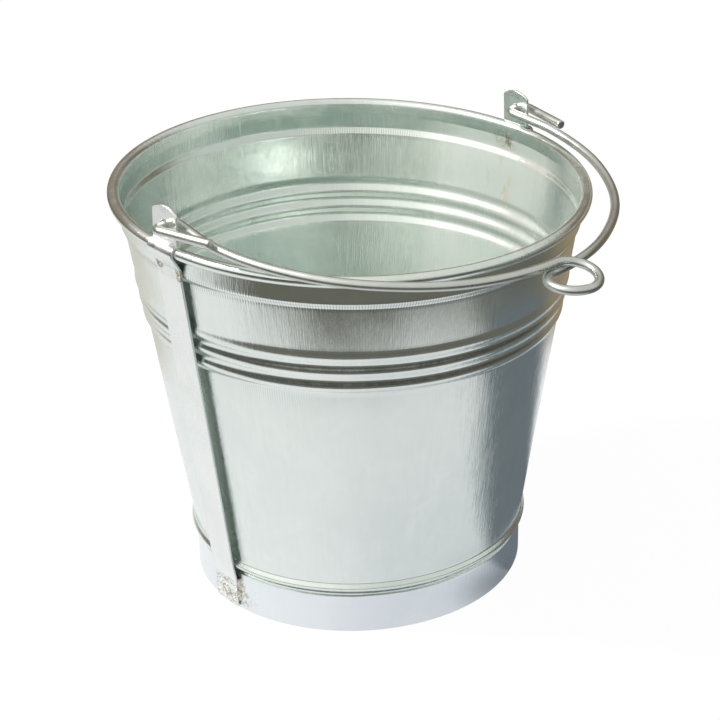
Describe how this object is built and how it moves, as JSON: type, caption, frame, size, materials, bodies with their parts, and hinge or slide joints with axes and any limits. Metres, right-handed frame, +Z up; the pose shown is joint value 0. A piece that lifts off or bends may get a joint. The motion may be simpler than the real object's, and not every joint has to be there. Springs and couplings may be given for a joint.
{
  "type": "feed bucket",
  "caption": "Tapered galvanised steel pail with rolled rim, swaged ridges, raised foot ring, welded ear straps and a swinging wire handle that has a hanging loop.",
  "frame": {"origin": "centre of the foot ring's lower edge, on the ground", "axes": "+Z up along the bucket's axis; the ears stand on the X axis; at rest the handle lies over the rim towards -Y"},
  "size_m": [0.3184, 0.3606, 0.2995],
  "materials": {
    "zinc_sheet": "hot-dip galvanised sheet, dull satin with a fine vertical crinkle",
    "rim_core": "plain drawn wire, hidden inside the rolled rim",
    "weld_metal": "rough weld metal under zinc",
    "zinc_hoop": "hot-dip galvanised, satin",
    "zinc_strap": "hot-dip galvanised, satin, lightly mottled",
    "zinc_wire": "hot-dip galvanised wire, satin"
  },
  "bodies": {
    "bucket": {"bucket_wall": "zinc_sheet", "rim_wire": "rim_core", "side_seam_weld": "weld_metal", "floor_disc": "zinc_sheet", "foot_ring": "zinc_hoop", "left_ear_strap": "zinc_strap", "right_ear_strap": "zinc_strap", "collar_spot_welds": "weld_metal", "foot_fillet_welds": "weld_metal"},
    "handle": {"bail": "zinc_wire"}
  },
  "joints": [
    {"name": "handle_swing", "type": "hinge", "parent": "bucket", "child": "handle", "pos_m": [0, 0, 0.2865], "axis": [-1, 0, 0], "range_deg": [-3, 193.5]}
  ]
}
